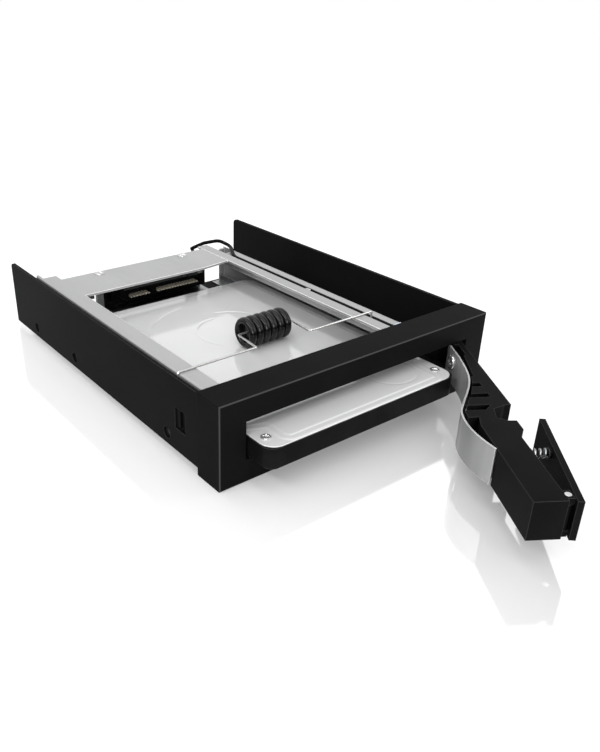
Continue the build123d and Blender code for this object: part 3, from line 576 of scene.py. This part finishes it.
def screws():
    """The heads that show: each pair's names, body, places across, seat, axis, radius and height."""
    pairs = [
        ("bridge_head_", "bridge_screw_", "chassis", (-30.3, 3.9), (96.6, 24.8), UP, 1.75, 0.55),
        ("cover_head_", "drive_screw_front_", "drive", (-38.7, 24.95), (-8.1, RIM_TOP), UP, 1.4, 0.45),
        ("board_head_", "pcb_screw_", "chassis", (-17.8, 19.2), (118.0, 4.2), REARWARD, 1.6, 1.0),
    ]
    for name, node, body, places, seat, axis, radius, height in pairs:
        for side, x in zip(("left", "right"), places):
            screw_head(name + side, Vector((x, *seat)), axis, radius, height, body, node + side)
    screw_head("leaf_head", at_door(6.2, 4.4, 13.8), -OUTWARD, 2.3, 0.75, "door", "leaf_screw", rings=20,
               count=96)


drive_cover()
roller()
latch_pin()
coil_spring()
screws()


# Floor, light and camera

def floor():
    """A pale floor, glossier towards the right, that fades to the white of the background."""
    mat = bpy.data.materials.new("floor_white")
    mat.use_nodes = True
    tree = mat.node_tree
    tree.nodes.clear()
    place = new_node(tree, "ShaderNodeTexCoord").outputs["Object"]
    across = new_node(tree, "ShaderNodeSeparateXYZ", Vector=place)
    away = new_node(tree, "ShaderNodeVectorMath", operation="LENGTH", Vector=place)
    seen = new_node(tree, "ShaderNodeLightPath").outputs["Is Camera Ray"]
    matt = new_node(tree, "ShaderNodeBsdfDiffuse", Color=(0.7, 0.7, 0.7, 1))
    gloss = new_node(tree, "ShaderNodeBsdfGlossy", Color=WHITE, Roughness=0.07)
    shine = spread(tree, across.outputs["X"], 0.15, 0.72, -0.06, 0.07)
    blend = blend_shader(tree, shine, matt, gloss)
    lift = calculate(tree, "MULTIPLY", seen, spread(tree, away.outputs["Value"], 0.2, 0.7, 0.1, 0.4))
    glow = new_node(tree, "ShaderNodeEmission", Color=WHITE, Strength=lift)
    total = new_node(tree, "ShaderNodeAddShader")
    tree.links.new(blend.outputs[0], total.inputs[0])
    tree.links.new(glow.outputs[0], total.inputs[1])
    new_node(tree, "ShaderNodeOutputMaterial", Surface=total.outputs[0])

    bm = bmesh.new()
    bmesh.ops.create_circle(bm, cap_ends=True, segments=96, radius=0.75)
    obj = add_object("floor", bm, mat)
    obj.location.z = -0.0001


def sky():
    """Plain white to the eye, in metal and through gaps, and a little softer as light."""
    world = bpy.data.worlds.new("studio")
    scene.world = world
    world.use_nodes = True
    tree = world.node_tree
    tree.nodes.clear()
    rays = new_node(tree, "ShaderNodeLightPath").outputs
    seen = calculate(tree, "MAXIMUM", rays["Is Camera Ray"], rays["Is Glossy Ray"])
    seen = calculate(tree, "MAXIMUM", seen, rays["Is Transmission Ray"])
    ambient = new_node(tree, "ShaderNodeBackground", Color=WHITE, Strength=0.6)
    white = new_node(tree, "ShaderNodeBackground", Color=WHITE, Strength=1.0)
    blend = blend_shader(tree, seen, ambient, white)
    new_node(tree, "ShaderNodeOutputWorld", Surface=blend.outputs[0])


def lamp(name, place, size, power, target=(0, 0, 0)):
    data = bpy.data.lights.new(name, "AREA")
    data.shape = "RECTANGLE"
    data.size = size[0]
    data.size_y = size[1]
    data.energy = power
    obj = bpy.data.objects.new(name, data)
    obj.location = place
    obj.rotation_euler = (Vector(target) - Vector(place)).to_track_quat("-Z", "Y").to_euler()
    scene.collection.objects.link(obj)


def camera():
    """The camera at the picture's angle."""
    eye = bpy.data.cameras.new("camera")
    eye.sensor_width = 36
    eye.lens = 36.511
    eye.shift_x = 0.07853
    eye.shift_y = -0.00486
    eye.clip_start = 0.005
    place = Vector((-0.14165, -0.13492, 0.11569))
    right = Vector((0.8026, -0.5964, 0.0073)).normalized()
    back = Vector((-0.5336, -0.7125, 0.4556)).normalized()
    up = back.cross(right).normalized()
    right = up.cross(back).normalized()
    turn = Matrix((right, up, back)).transposed()
    obj = bpy.data.objects.new("camera", eye)
    obj.matrix_world = Matrix.Translation(place) @ turn.to_4x4()
    scene.collection.objects.link(obj)
    scene.camera = obj


floor()
sky()
lamp("strip_top", place=(-0.045, -0.1, 0.5), size=(0.1, 1.0), power=1.3, target=(-0.045, -0.099, 0))
lamp("strip_left", place=(-0.55, -0.12, 0.6), size=(1.0, 0.07), power=3.4)
lamp("softbox_front", place=(-0.4, -0.85, 0.34), size=(0.3, 0.35), power=3.0)
lamp("softbox_right", place=(0.7, -0.5, 0.45), size=(0.3, 0.5), power=1.0)
camera()
scene.view_settings.view_transform = "Standard"
